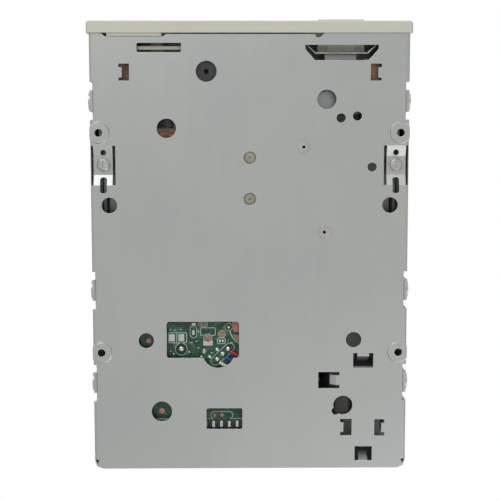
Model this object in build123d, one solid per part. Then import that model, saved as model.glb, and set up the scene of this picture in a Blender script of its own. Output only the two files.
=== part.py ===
from build123d import *
import os
from math import asin, cos, degrees, hypot, radians, sin

# Outer sizes of a one inch high drive for a 3.5 inch bay, in millimetres.
# While a piece is drawn, y is the distance behind the back of the bezel.
body_width = 101.6
body_height = 25.4
body_length = 139.0
bezel_lip = 0.2
bezel_depth = 3.7
button_proud = 0.9

# Sheet thicknesses and running gaps.
pan_sheet = 1.0
cover_sheet = 0.5
rail_sheet = 1.0
slider_sheet = 0.8
cage_sheet = 0.6
side_gap = 0.3
pin_fit = 0.1
shaft_fit = 0.05

# Mounting holes: M3, tapped in collars pressed out of the sheet.
tap_radius = 1.25
pad_height = 0.5
pad_radius = 3.5
pad_slope = 0.35
side_pad_radius = 3.1
collar_wall = 0.8
collar_height = 1.2
mount_inset = 3.3
mount_first_y = 31.0
mount_rear_inset = 38.0
side_hole_y = 21.0
side_middle_inset = 58.0
side_rear_inset = 28.0
side_hole_z = 5.0

# Pan and cover.
wall_drop = 3.9
bend_radius = 1.2
cover_flange = 11.5
strap_y = (35.0, 47.5)
strap_slope = 3.3
strap_insets = (7.5, 1.5)
strap_slot = 1.0
strap_rise = 1.2
screw_inset = 4.6
screw_y = 41.0
screw_radius = 1.2
screw_head = 2.0
rear_wall_top = 13.0

# The disk and what lifts it: the slider runs forward and lowers the cage.
side_room = 5.8
rear_room = 45.0
disk_thickness = 3.3
disk_tail = 3.2
loaded_z = 11.0
cage_drop = 3.0
slider_travel = 5.0
slider_z = 5.6
slider_y = (17.9, 25.0)
cage_room = 4.4
cage_lip = 7.9
cage_front = 6.5
pin_radius = 1.0
pin_front_y = 14.0
pin_rear_inset = 18.0
pin_rise = 1.6

# Spindle and its motor, at the shares of the disk's length that the disk format sets.
spindle_share = 0.4819
rotor_share = 0.2021
travel_share = 0.15745
shaft_radius = 1.5
rotor_wall = 0.8
rotor_bottom = 4.4
rotor_top = 8.2
magnet_wall = 1.5
air_gap = 0.4
pole_count = 12
hub_radius = 10.5
hub_top = 11.2
stud_offset = 6.5
stud_radius = 2.0
board_sheet = 1.2
board_lift = 0.8

# Heads: the carriage runs on a rod and is driven by a screw.
carriage_inset = 49.0
head_reach = 5.2
screw_lead = 3.75
screw_thread_radius = 1.5
groove_radius = 0.55
follower_radius = 0.35
follower_depth = 0.3
screw_inset_x = 20.9
screw_axis_z = 8.8
rod_x = 14.0
rod_z = 7.6
rod_radius = 1.5
arm_hinge_z = 15.2
arm_top = 16.2
arm_room = 2.49
motor_radius = 7.2
rail_x = (-13.5, -10.5)
rail_z = (8.2, 9.0)

# Front: slot, door, button and light.
slot_room = 1.4
slot_height = 4.6
door_thickness = 1.0
door_gap = 0.3
button_width = 14.7
button_inset = 14.6
button_z = (4.3, 10.1)
button_rear = 5.6
button_gap = 0.3
light_inset = 19.3
light_width = 4.0
light_z = (6.0, 8.0)

# Main board and connectors.
main_board_lift = 1.5
main_board_inset = 53.0
connector_room = 15.6
header_pitch = 2.54
header_columns = 17
header_first_x = -34.66
header_pin = 0.64
power_pitch = 2.5
power_x = 18.6

# Levels and faces that follow from the sizes above.
edge = body_width / 2
bezel_width = body_width + 2 * bezel_lip
bezel_back = (bezel_depth + button_proud - body_length) / 2
disk_width = body_width - 2 * side_room
disk_length = body_length - rear_room
spindle_y = spindle_share * disk_length
rotor_radius = rotor_share * disk_length
head_travel = travel_share * disk_length
plate_out = pad_height
plate_in = plate_out + pan_sheet
cover_in = body_height - cover_sheet
wall_height = body_height - wall_drop
pan_out = edge - cover_sheet
pan_in = pan_out - pan_sheet
mount_half_width = edge - mount_inset
mount_rear_y = body_length - mount_rear_inset
side_holes = (side_hole_y, body_length - side_middle_inset, body_length - side_rear_inset)
strap_x = (edge - strap_insets[0], edge - strap_insets[1])
strap_flat = (strap_y[0] + strap_slope, strap_y[1] - strap_slope)
strap_top = plate_in + strap_rise
screw_x = edge - screw_inset
cage_in = disk_width / 2 + side_gap
cage_out = cage_in + cage_sheet
slider_in = cage_out + side_gap
slider_out = slider_in + slider_sheet
rail_in = slider_out + side_gap
rail_out = rail_in + rail_sheet
rest_z = loaded_z + cage_drop
cage_bottom = rest_z - cage_sheet
cage_top = rest_z + cage_room + cage_sheet
pin_z = rest_z + pin_rise
pin_rear_y = disk_length - pin_rear_inset
disk_rear = disk_length - disk_tail
media_z = loaded_z + disk_thickness / 2
carriage_y = body_length - carriage_inset
head_y = carriage_y - head_reach
follower_y = carriage_y + 5.0
arm_hinge_y = carriage_y + 19.0
arm_lift = degrees(asin((cover_in - arm_room - arm_top) / (arm_hinge_y - head_y + 4.5)))
motor_y = (carriage_y + 17.0, carriage_y + 32.0)
screw_axis_x = edge - screw_inset_x
board_rear = spindle_y + rotor_radius + 1.7
rod_y = (board_rear + 0.8, carriage_y + 14.6)
rail_y = (rod_y[0], carriage_y + 18.6)
screw_front = follower_y - head_travel - 6.7
thread_y = (follower_y - head_travel - 2.2, follower_y + 3.4)
board_z = (plate_in + board_lift, plate_in + board_lift + board_sheet)
main_z = (plate_in + main_board_lift, plate_in + main_board_lift + board_sheet)
main_board_front = body_length - main_board_inset
main_board_rear = body_length - connector_room
slot_half_width = disk_width / 2 + slot_room
slot_z = (rest_z - 0.2, rest_z - 0.2 + slot_height)
door_hinge_z = slot_z[1] + 0.6
door_hinge_y = -1.1
button_x = (edge - button_inset - button_width, edge - button_inset)
light_x = (-(edge - light_inset), -(edge - light_inset - light_width))
spring_x = edge - 11.8
spring_z = slider_z - 0.6
spring_y = (slider_y[1], slider_y[1] + 8.4)


def block(x, y, z):
    """A box between two limits on each axis."""
    size = (x[1] - x[0], y[1] - y[0], z[1] - z[0])
    return Pos((x[0] + x[1]) / 2, (y[0] + y[1]) / 2, (z[0] + z[1]) / 2) * Box(*size)


def drum(x, y, radius, z):
    """An upright cylinder."""
    return Pos(x, y, (z[0] + z[1]) / 2) * Cylinder(radius, z[1] - z[0])


def cone(x, y, low_radius, high_radius, z):
    """An upright cone frustum."""
    return Pos(x, y, (z[0] + z[1]) / 2) * Cone(low_radius, high_radius, z[1] - z[0])


def bar_x(y, z, radius, x):
    """A cylinder that lies across the drive."""
    return Pos((x[0] + x[1]) / 2, y, z) * Rot(0, 90, 0) * Cylinder(radius, x[1] - x[0])


def bar_y(x, z, radius, y):
    """A cylinder that lies along the drive."""
    return Pos(x, (y[0] + y[1]) / 2, z) * Rot(90, 0, 0) * Cylinder(radius, y[1] - y[0])


def slab(points, z):
    """A plan outline given its thickness."""
    face = make_face(Polyline(*points, close=True))
    return extrude(Pos(0, 0, z[0]) * face, amount=z[1] - z[0])


def web(points, x):
    """A side outline of (y, z) points given its width across the drive."""
    face = make_face(Polyline(*points, close=True))
    return extrude(Plane.YZ.offset(x[0]) * face, amount=x[1] - x[0])


def ridge(points, y):
    """A front outline of (x, z) points given its length along the drive."""
    face = make_face(Polyline(*[(x, y[0], z) for x, z in points], close=True))
    return extrude(face, amount=y[1] - y[0], dir=(0, 1, 0))


def turned(points, x, y):
    """A turned piece: an outline of (radius, z) points about an upright axis."""
    face = make_face(Polyline(*points, close=True))
    return Pos(x, y, 0) * revolve(Plane.XZ * face, Axis.Z)


def window(x, y, corner=0.0):
    """The cutter for a window through the floor of the pan, with clipped corners."""
    c = corner
    points = [(x[0] + c, y[0]), (x[1] - c, y[0]), (x[1], y[0] + c), (x[1], y[1] - c)]
    points += [(x[1] - c, y[1]), (x[0] + c, y[1]), (x[0], y[1] - c), (x[0], y[0] + c)]
    if not c:
        points = points[0::2]
    return slab(points, (0, 2 * plate_in))


def back(distance):
    """The station that lies this far in front of the rear end."""
    return body_length - distance


def slot_x(start, end, radius, x):
    """A round-ended slot between two (y, z) points, cut across the drive."""
    length = hypot(end[0] - start[0], end[1] - start[1])
    off_y = -(end[1] - start[1]) / length * radius
    off_z = (end[0] - start[0]) / length * radius
    corners = [
        (start[0] + off_y, start[1] + off_z),
        (end[0] + off_y, end[1] + off_z),
        (end[0] - off_y, end[1] - off_z),
        (start[0] - off_y, start[1] - off_z),
    ]
    return web(corners, x) + bar_x(*start, radius, x) + bar_x(*end, radius, x)


def link(start, end, start_radius, end_radius, z):
    """A flat lever arm with round ends between two plan points."""
    length = hypot(end[0] - start[0], end[1] - start[1])
    nx = -(end[1] - start[1]) / length
    ny = (end[0] - start[0]) / length
    corners = [
        (start[0] + nx * start_radius, start[1] + ny * start_radius),
        (end[0] + nx * end_radius, end[1] + ny * end_radius),
        (end[0] - nx * end_radius, end[1] - ny * end_radius),
        (start[0] - nx * start_radius, start[1] - ny * start_radius),
    ]
    arm = slab(corners, z)
    return arm + drum(*start, start_radius, z) + drum(*end, end_radius, z)


def both_sides(piece):
    """The piece and its mirror image on the other side of the drive."""
    return piece + mirror(piece, Plane.YZ)


def save(name, piece):
    """Write a piece with the origin moved to the middle of the drive."""
    export_step(Pos(0, bezel_back, 0) * piece, f"parts/{name}.step")


def folded_pan():
    """The plain folded sheet: a floor with a side wall on each side and low rear walls."""
    pan = block((-pan_out, pan_out), (0, body_length), (plate_out, wall_height))
    pan -= block((-pan_in, pan_in), (-1, body_length + 1), (plate_in, wall_height + 1))
    inner = pan.edges().filter_by(Axis.Y).group_by(Axis.Z)[1]
    pan = fillet(inner, bend_radius - pan_sheet + 0.1)
    outer = pan.edges().filter_by(Axis.Y).group_by(Axis.Z)[0]
    pan = fillet(outer, bend_radius)
    rear = (back(pan_sheet), body_length)
    pan += block((power_x + 7.4, pan_in - 1.5), rear, (plate_out, rear_wall_top))
    return pan + block((-pan_in + 1.5, header_first_x - 3.5), rear, (plate_out, rear_wall_top))


def rear_corner(half, height):
    """The cutter that rounds a rear corner of the pan or of the lid."""
    turn = [(half + 1, back(2.8)), (half, back(2.8)), (half - 0.8, back(0.8)), (half - 2.8, body_length)]
    turn += [(half - 2.8, body_length + 1), (half + 1, body_length + 1)]
    return both_sides(slab(turn, (-1, height)))


def mount_bosses():
    """Tapered pads pressed out of the floor and walls, each with a tapped collar inside."""
    bosses = Part()
    cuts = Part()
    collar = tap_radius + collar_wall
    inside = block((-pan_out, pan_out), (0, body_length), (0, plate_in))
    for y in (mount_first_y, mount_rear_y):
        x = mount_half_width
        pad = cone(x, y, pad_radius - pad_slope, pad_radius, (0, plate_out)) & inside
        boss = pad + drum(x, y, collar, (plate_out, plate_in + collar_height))
        bosses += both_sides(boss)
        cuts += both_sides(drum(x, y, tap_radius, (-1, plate_in + collar_height + 1)))
    for y in side_holes:
        pad = bar_x(y, side_hole_z, side_pad_radius, (pan_in, edge))
        boss = pad + bar_x(y, side_hole_z, collar, (pan_in - collar_height, pan_in))
        bosses += both_sides(boss)
        cuts += bar_x(y, side_hole_z, tap_radius, (-body_width, body_width))
    return bosses, cuts


def strap():
    """A bridge lanced in the floor and pressed inwards, so a screw head lies flush."""
    line = [(strap_y[0], 0), (strap_flat[0], strap_rise), (strap_flat[1], strap_rise), (strap_y[1], 0)]
    low = [(y, plate_out + rise) for y, rise in line]
    high = [(y, plate_in + rise) for y, rise in reversed(line)]
    bridge = web(low + high, strap_x)
    return bridge - drum(screw_x, screw_y, screw_radius + pin_fit, (0, strap_top + 1))


def front_windows():
    """Windows and sight holes in the front half of the floor."""
    middle = (button_x[0] + button_x[1]) / 2
    cuts = window((-35.3, -21.4), (3.1, 6.0), 0.3)
    wide, narrow = 11.5, 8.4
    cuts += slab([(middle - wide, 3.7), (middle + wide, 3.7), (middle + wide, 5.0), (middle + narrow, 8.5),
                  (middle - narrow, 8.5), (middle - wide, 5.0)], (0, 2 * plate_in))
    cuts += window((-(edge - 9.8), -(edge - 13.1)), (9.5, 14.8))
    cuts += window((edge - 12.9, edge - 9.45), (9.5, 14.8))
    for x, y, radius in ((-13.6, 11.9, 3.3), (-26.2, 29.6, 3.05), (24.2, 20.6, 3.05)):
        cuts += drum(x, y, radius, (0, 2 * plate_in))
    for x, y in ((28.7, 26.4), (33.85, 25.8), (edge - 12.2, 41.8)):
        cuts += drum(x, y, 1.45, (0, 2 * plate_in))
    return cuts + both_sides(drum(edge - 6.4, 53.8, 2.5, (0, 2 * plate_in)))


def rear_windows():
    """Windows and sight holes under the main board, the connectors and the stepper."""
    deep = (0, 2 * plate_in)
    cuts = window((-26.7, -3.5), (back(48.0), back(36.2)), 0.6) + drum(-10.15, back(38.1), 5.15, deep)
    cuts += window((-14.1, -2.5), (back(19.8), back(12.9)), 0.4)
    for x, inset, radius in ((-33.2, 41.9, 2.45), (-28.4, 18.8, 3.3), (edge - 17.6, 42.05, 2.5)):
        cuts += drum(x, back(inset), radius, deep)
    motor = screw_axis_x
    cuts += drum(motor, back(20.7), 3.1, deep) + drum(motor - 2.3, back(18.8), 1.3, deep)
    cuts += window((motor - 8.0, motor - 1.15), (back(31.55), back(26.2)))
    cuts += window((motor - 0.8, motor + 2.9), (back(16.2), back(10.7)))
    cuts += window((edge - 17.7, edge - 11.2), (back(37.7), back(32.8)))
    cuts += window((edge - 10.7, edge - 7.4), (back(16.0), back(10.6)))
    return cuts + window((edge - 17.0, edge - 11.4), (back(7.1), back(2.4)))


def bend_notches():
    """Slots that free a tongue round each side hole, and the slots beside the straps."""
    cuts = Part()
    outer = edge + 1
    for y in side_holes:
        cuts += block((edge - 1.8, outer), (y - 6, y + 5.9), (0, side_hole_z - side_pad_radius))
        for y0, y1 in ((y - 6, y - 3.4), (y + 3.4, y + 5.9)):
            cuts += block((edge - 1.8, outer), (y0, y1), (0, side_hole_z + side_pad_radius + 0.3))
    cuts += block((pan_out - 0.4, outer), (back(11.6), back(4.4)), (0, plate_in))
    cuts += block((strap_x[0] - strap_slot, strap_x[1] + 0.7), strap_y, (0, plate_in + 0.2))
    cuts += block((strap_x[1], strap_x[1] + 0.7), strap_y, (0, side_hole_z))
    x = pan_out
    cuts += slab([(x - 1.7, back(3.0)), (x - 0.3, back(3.0)), (x - 1.0, back(1.5))], (0, plate_in + 2))
    return both_sides(cuts)


def front_edge():
    """The recess that takes the bezel's tongue, and the small notch beside the button."""
    left = edge - 4.2
    recess = [(-left, -1), (-left, 0), (-left + 1.6, 1.2), (-27.2, 1.2), (-25.9, 0.4), (20.3, 0.4)]
    recess += [(20.9, 1.4), (22.2, 1.4), (23.4, 0), (23.4, -1)]
    return slab(recess, (0, 2 * plate_in))


def leaning_tab(fold, tip, z):
    """Outline of a tab that leaves the floor at the fold and leans in to its tip."""
    side = 1 if tip > fold else -1
    outline = [(fold - side, plate_out), (fold, plate_out), (tip, z - 0.5), (tip - 0.5 * side, z)]
    return outline + [(fold - 0.5 * side, plate_in), (fold - side, plate_in)]


def lanced_tabs():
    """Tabs cut free on three sides and bent up beside their windows, and the spring hooks."""
    low = board_z[0]
    motor = screw_axis_x
    tabs = block((-(edge - 9.7), -(edge - 10.8)), (10.7, 13.8), (plate_out, low))
    tabs += block((edge - 10.5, edge - 9.35), (10.7, 13.8), (plate_out, low))
    tabs += web(leaning_tab(back(36.7), back(34.4), 4.8), (edge - 16.3, edge - 12.6))
    tabs += ridge(leaning_tab(motor - 2.2, motor - 4.2, 2.3), (back(30.4), back(27.3)))
    tabs += block((motor - 0.9, motor + 0.2), (back(15.0), back(11.9)), (plate_out, 5.0))
    tabs += block((edge - 8.4, edge - 7.3), (back(14.8), back(11.8)), (plate_out, 5.0))
    tabs += web(leaning_tab(back(2.5), back(5.2), 4.6), (edge - 15.7, edge - 12.8))
    hook_y = (spring_y[1], spring_y[1] + 1.0)
    hook = block((spring_x - 1.2, spring_x + 1.2), hook_y, (plate_out, spring_z + 1.2))
    return tabs + both_sides(hook)


def bottom_shell():
    pan = folded_pan()
    bosses, holes = mount_bosses()
    pan = pan + bosses - holes - bend_notches() - front_windows() - rear_windows() - front_edge()
    pan = pan + both_sides(strap()) + lanced_tabs() - rear_corner(pan_out, wall_height + 1)
    deep = (0, strap_top + 1)
    for side in (-1, 1):
        pan -= drum(side * screw_x, screw_y - 3.8, 0.9, deep)
        pan -= window((side * screw_x - 1.05, side * screw_x + 1.05), (45.0, 50.0), 0.5)
        pan -= drum(0, spindle_y + side * stud_offset, stud_radius, (0, 2 * plate_in))
        pan -= block((side * pan_out - 2, side * pan_out + 2), (2.4, 5.2), (9.3, 15.2))
    for x, y in board_post_places():
        pan -= drum(x, y, stud_radius, (0, 2 * plate_in))
    return pan


def top_cover():
    """Folded lid with side flanges outside the pan's walls and a rear flange."""
    half = edge
    low = body_height - cover_flange
    beyond = body_length + 1
    lid = block((-half, half), (0.3, body_length), (low, body_height))
    lid -= block((-pan_out, pan_out), (-1, back(cover_sheet)), (low - 1, cover_in))
    lid = fillet(lid.edges().filter_by(Axis.Y).group_by(Axis.Z)[-1], 0.45)
    lid -= rear_corner(half, body_height + 1)
    for side in (-1, 1):
        face = (side * half - 1, side * half + 1)
        for y in (38.0, back(47.0)):
            lid -= block(face, (y, y + 1.0), (low - 1, low + 6.5))
            lid -= block(face, (y + 9.0, y + 10.0), (low - 1, low + 6.5))
        lid -= block((side * half - 3, side * half + 3), (back(5.0), beyond), (low - 1, low + 3))
        corner = sorted((side * (pan_in - 0.2), side * pan_out))
        lid -= block(corner, (back(cover_sheet + 0.1), beyond), (low - 1, wall_height + 0.1))
        rib_x = side * half / 2
        rib = block((rib_x - 3.5, rib_x + 3.5), (18.0, back(21.0)), (cover_in - 0.5, body_height))
        lid = lid + rib - block((rib_x - 3.0, rib_x + 3.0), (18.5, back(21.5)), (cover_in, body_height + 1))
    return lid


def bezel_body():
    """Moulded front plate with its slot, thumb scoop, button window and light window."""
    half = bezel_width / 2
    plate = block((-half, half), (-bezel_depth, 0), (0, body_height))
    plate = fillet(plate.edges().filter_by(Axis.Z).group_by(Axis.Y)[0], 1.0)
    plate = chamfer(plate.edges().filter_by(Axis.X).group_by(Axis.Y)[0], 0.5)
    plate -= block((-slot_half_width, slot_half_width), (-5, 1), slot_z)
    pocket = slot_half_width + 1.0
    plate -= block((-pocket, pocket), (door_hinge_y - 0.8, 1), (slot_z[0] - 0.8, door_hinge_z + 1.0))
    scoop = Pos(0, -bezel_depth - 28.4, body_height / 2 + 3.4) * Cylinder(30, 13.0)
    plate -= scoop
    plate -= bar_x(door_hinge_y, door_hinge_z, 0.7, (-pocket - 1, pocket + 1))
    return plate


def front_bezel():
    plate = bezel_body()
    sleeve_x = (button_x[0] - 1.3, button_x[1] + 1.3)
    plate += block(sleeve_x, (0, 3.0), (button_z[0] - 1.3, button_z[1] + 1.3))
    gap_x = (button_x[0] - button_gap, button_x[1] + button_gap)
    plate -= block(gap_x, (-5, 4), (button_z[0] - button_gap, button_z[1] + button_gap))
    plate += block((-(edge - 6.2), -27.6), (0, 1.0), (plate_out, plate_in))
    latch_z = (plate_in + 0.7, plate_in + 1.7)
    plate += block((-36.4, -20.4), (4.0, 5.1), latch_z)
    plate += block((-36.4, -35.6), (0, 5.1), latch_z) + block((-21.2, -20.4), (0, 5.1), latch_z)
    for side in (-1, 1):
        limits = sorted((side * (pan_in - 1.3), side * (pan_in - 0.1)))
        plate += block(limits, (0, 5.0), (9.5, 15.0))
        tip = sorted((side * (pan_in - 0.1), side * pan_out))
        plate += block(tip, (3.2, 5.0), (9.5, 15.0))
    plate -= block(light_x, (-5, 1), light_z)
    return plate


def door_flap():
    """Dust door hinged along its top edge; it swings inwards."""
    half = slot_half_width + 0.6
    thick = (door_hinge_y - door_thickness / 2, door_hinge_y + door_thickness / 2)
    flap = block((-half, half), thick, (slot_z[0] - 0.5, door_hinge_z))
    flap += bar_x(door_hinge_y, door_hinge_z, door_thickness / 2 + 0.1, (-half, half))
    return flap + bar_x(door_hinge_y, door_hinge_z, 0.6, (-half - 1.1, half + 1.1))


def slider_tab():
    """The tongue of the slider that the eject button is pressed on."""
    middle = (button_x[0] + button_x[1]) / 2
    return block((middle - 5, middle + 5), (-1.0, slider_y[1]), (slider_z, slider_z + slider_sheet))


def eject_button():
    button = block(button_x, (-bezel_depth - button_proud, button_rear), button_z)
    button = fillet(button.edges().group_by(Axis.Y)[0], 0.5)
    notch_y, notch_z = (button_rear - 1.7, button_rear - 0.5), (button_z[0], button_z[0] + 0.8)
    for x in (button_x[0] + 0.6, button_x[1] - 3.0):
        button -= block((x, x + 2.4), notch_y, notch_z)
    return button - slider_tab()


def button_spring():
    """Wire form that steadies the button from below; its legs press on the bezel's back."""
    middle = (button_x[0] + button_x[1]) / 2
    wide, narrow, radius, z = 11.1, 8.3, 0.42, 2.6
    points = [(middle - wide, 0), (middle - wide, 3.4), (middle - narrow, 6.1)]
    points += [(middle + narrow, 6.1), (middle + wide, 3.4), (middle + wide, 0)]
    wire = Part()
    for start, end in zip(points, points[1:]):
        run = Line((*start, z), (*end, z))
        wire += sweep(Plane(run @ 0, z_dir=run % 0) * Circle(radius), path=run)
    for x, y in points[1:-1]:
        wire += Pos(x, y, z) * Sphere(radius)
    return wire


def slider_side():
    """One upright side of the slider, with the two ramps that carry the cage."""
    front, rear = pin_front_y, pin_rear_y
    outline = [(front - 6, 7.6), (slider_y[0], 7.6), (slider_y[0], slider_z), (slider_y[1], slider_z)]
    outline += [(slider_y[1], 7.6), (rear + 12, 7.6), (rear + 12, 12.0), (rear + 8, 18.0), (rear - 6, 18.0)]
    outline += [(rear - 10, 13.0), (front + 14, 13.0), (front + 10, 18.0)]
    outline += [(front - 3.5, 18.0), (front - 6, 16.0)]
    side = web(outline, (slider_in, slider_out))
    for y in (front, rear):
        foot = (y + slider_travel, pin_z - cage_drop)
        side -= slot_x((y, pin_z), foot, pin_radius + pin_fit, (slider_in - 1, slider_out + 1))
    return side


def slider_plate():
    cross = block((-slider_in, slider_in), slider_y, (slider_z, slider_z + slider_sheet))
    return cross + slider_tab() + both_sides(slider_side())


def slider_stud_places():
    return ((30.0, 9.7), (pin_rear_y - 12.0, 9.7))


def slider_studs():
    """Shouldered studs that run in the level slots of the rails."""
    studs = Part()
    for y, z in slider_stud_places():
        studs += bar_x(y, z, pin_radius, (slider_out, rail_out + 0.4))
    return both_sides(studs)


def slider_springs():
    """Two close-wound springs that pull the slider back to its hooks on the floor."""
    coil = bar_y(spring_x, spring_z, 1.0, (spring_y[0] + 1.5, spring_y[1] - 1.5))
    return both_sides(coil + bar_y(spring_x, spring_z, 0.3, spring_y))


def side_rail():
    """Right rail: a foot screwed on the strap, and a wall with level and upright slots."""
    rear = pin_rear_y + 15.0
    wall = block((rail_in, rail_out), (6.5, rear), (7.4, 19.6))
    foot_y = (strap_flat[0] + 0.3, strap_flat[1] - 0.3)
    wall += block((rail_in, rail_out), foot_y, (strap_top, 7.4))
    wall += block((strap_x[0] + 0.2, rail_in), foot_y, (strap_top, strap_top + rail_sheet))
    wall += block((rail_in, rail_out), (rear - 4.0, rear), (plate_in, 7.4))
    wall += block((rail_in - 4.0, rail_in), (rear - 4.0, rear), (plate_in, plate_in + rail_sheet))
    cut_x = (rail_in - 1, rail_out + 1)
    for y in (pin_front_y, pin_rear_y):
        wall -= slot_x((y, pin_z - cage_drop - 0.3), (y, pin_z + 0.3), pin_radius + pin_fit, cut_x)
    for y, z in slider_stud_places():
        wall -= slot_x((y - slider_travel - 0.3, z), (y + 0.3, z), pin_radius + pin_fit, cut_x)
    return wall - drum(screw_x, screw_y, screw_radius, (strap_top - 1, strap_top + 3))


def rail_screws():
    """Pan head screws that hold the rails from below."""
    low = plate_out
    seat = plate_out + strap_rise
    outline = [(0, low), (screw_head - 0.4, low), (screw_head, low + 0.4), (screw_head, seat)]
    outline += [(screw_radius, seat), (screw_radius, strap_top + 1.8), (0, strap_top + 1.8)]
    screw = turned(outline, screw_x, screw_y)
    for turn in (0, 90):
        cross = Pos(screw_x, screw_y, low) * Rot(0, 0, turn) * Box(2.2, 0.5, 1.2)
        screw -= cross
    return both_sides(screw)


def disk_cage():
    """Sheet holder that the disk slides into, open below and at the back for the heads."""
    rear = disk_rear + 1.2
    cage = block((-cage_out, cage_out), (cage_front, rear), (cage_bottom, cage_top))
    cage -= block((-cage_in, cage_in), (0, rear + 1), (rest_z, cage_top - cage_sheet))
    open_half = cage_in - cage_lip + cage_sheet
    cage -= block((-open_half, open_half), (0, rear + 1), (cage_bottom - 1, rest_z + 0.1))
    cage -= block((-cage_in, cage_in), (0, pin_front_y), (cage_bottom - 1, rest_z + 0.1))
    cage -= block((-13, 13), (disk_rear - 30.8, rear + 1), (cage_top - 1, cage_top + 1))
    for side in (-1, 1):
        x = sorted((side * 20.0, side * 26.0))
        cage -= block((x[0], x[0] + 0.8), (24, 40), (cage_top - 1, cage_top + 1))
        cage -= block((x[1] - 0.8, x[1]), (24, 40), (cage_top - 1, cage_top + 1))
        cage -= block(x, (40, 40.8), (cage_top - 1, cage_top + 1))
        stop = sorted((side * (cage_in - 15.3), side * (cage_in - 8.3)))
        cage += block(stop, (rear - cage_sheet, rear), (rest_z + 0.6, cage_top))
    return cage - lever_slot()


lever_pivot_at = (-(edge - 12.8), disk_rear - 8.8)
lever_reach = 22.0
lever_rest = -30.0
lever_swing = 35.0


def lever_tip(angle):
    return (
        lever_pivot_at[0] + lever_reach * cos(radians(angle)),
        lever_pivot_at[1] + lever_reach * sin(radians(angle)),
    )


def lever_slot():
    """The curved slot in the cage's roof that the shutter lever's pin sweeps."""
    half = pin_radius + 0.3
    z = (cage_top - 1, cage_top + 1)
    ring = drum(*lever_pivot_at, lever_reach + half, z) - drum(*lever_pivot_at, lever_reach - half, z)
    far = lever_reach * 1.5
    wedge = [lever_pivot_at]
    for angle in (lever_rest, lever_rest + lever_swing):
        wedge.append((
            lever_pivot_at[0] + far * cos(radians(angle)),
            lever_pivot_at[1] + far * sin(radians(angle)),
        ))
    ends = drum(*lever_tip(lever_rest), half, z) + drum(*lever_tip(lever_rest + lever_swing), half, z)
    return (ring & slab(wedge, z)) + ends


def cage_pins():
    """Four pins that run in the slider's ramps and the rails' upright slots."""
    pins = Part()
    for y in (pin_front_y, pin_rear_y):
        pins += bar_x(y, pin_z, pin_radius, (cage_out, rail_out + 0.4))
    return both_sides(pins)


def lever_rivet():
    low = cage_top
    outline = [(0, low), (1.5, low), (1.5, low + 1.05), (2.4, low + 1.05), (2.4, low + 1.5), (0, low + 1.5)]
    return turned(outline, *lever_pivot_at)


def lever_spring():
    """Ring spring round the rivet, with a leg on the lever and a leg down to the cage."""
    x, y = lever_pivot_at
    z = (cage_top + 1.0, cage_top + 1.4)
    spring = drum(x, y, 3.1, z) - drum(x, y, 2.6, z)
    spring += block((x + 2.8, x + 9.0), (y - 2.4, y - 1.9), z)
    return spring + block((x - 5.4, x - 2.8), (y - 0.25, y + 0.25), z) + block(
        (x - 5.4, x - 4.9), (y - 0.25, y + 0.25), (cage_top, z[0]))


def shutter_lever():
    """Lever that opens the disk's shutter and lets the slider go."""
    z = (cage_top + 0.2, cage_top + 1.0)
    tip = lever_tip(lever_rest)
    lever = link(lever_pivot_at, tip, 3.6, 2.0, z)
    lever += link(lever_pivot_at, (lever_pivot_at[0] - 1.0, lever_pivot_at[1] + 6.0), 3.0, 1.8, z)
    lever -= drum(*lever_pivot_at, 1.5 + shaft_fit, (z[0] - 1, z[1] + 1))
    return lever + drum(*tip, pin_radius, (rest_z + 1.0, z[1]))


def board_post_places():
    return ((17.0, spindle_y - 0.516 * rotor_radius), (23.6, spindle_y + 0.9 * rotor_radius))


def board_posts():
    """Hollow riveted posts that stand through the floor and hold the motor board."""
    z0 = plate_out - 0.1
    bore, neck = 0.5, stud_radius - 0.05
    outline = [(bore, z0), (neck, z0), (neck, plate_in), (2.9, plate_in)]
    outline += [(2.9, board_z[0]), (1.2, board_z[0]), (1.2, board_z[1]), (1.8, board_z[1])]
    outline += [(1.4, board_z[1] + 0.5), (bore, board_z[1] + 0.5)]
    posts = Part()
    for x, y in board_post_places():
        posts += turned(outline, x, y)
    return posts


def motor_board():
    """Board under the spindle that carries the coils, with the front sensors on its wing."""
    left = edge - 8.3
    outline = [(-left, 7.6), (-left, 18.0), (-31.0, 30.0), (-31.0, board_rear - 6), (-25.0, board_rear)]
    outline += [(31.0, board_rear), (31.0, 30.0), (20.0, 24.0), (12.0, 24.0), (4.0, 7.6)]
    board = slab(outline, board_z)
    board -= drum(0, spindle_y, 9.4, (0, 5))
    board -= drum(-13.6, 11.9, 2.2, (0, 5))
    board -= slab([(-29.3, 26.6), (-23.1, 26.6), (-23.1, 29.6), (-29.3, 29.6)], (0, 5))
    for x, y in board_post_places():
        board -= drum(x, y, 1.2, (0, 5))
    return board


def sensor_board():
    return block((edge - 15.0, edge - 5.4), (7.8, 18.0), board_z)


def board_boss():
    """Moulded peg that centres the front of the motor board."""
    z0 = plate_in
    outline = [(0.8, z0), (4.2, z0), (4.2, board_z[0]), (2.1, board_z[0]), (2.1, board_z[1] + 0.3)]
    return turned(outline + [(0.8, board_z[1] + 0.3)], -13.6, 11.9)


def bearing_housing():
    """Sleeve bearing on a flange, held by two staked studs that show in the floor."""
    bore = shaft_radius + shaft_fit
    outline = [(bore, plate_in + 0.2), (bore, 6.8), (5.4, 6.8), (5.4, 4.6), (6.4, 4.6), (6.4, 2.5)]
    outline += [(9.0, 2.5), (9.0, plate_in), (3.0, plate_in), (3.0, plate_in + 0.2)]
    housing = turned(outline, 0, spindle_y)
    for side in (-1, 1):
        y = spindle_y + side * stud_offset
        housing += drum(0, y, stud_radius - 0.5, (plate_out + 0.3, plate_in))
        housing -= drum(0, y, 0.45, (0, plate_in))
    return housing


def stator_outline_radius():
    return rotor_radius - rotor_wall - magnet_wall - air_gap


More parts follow.
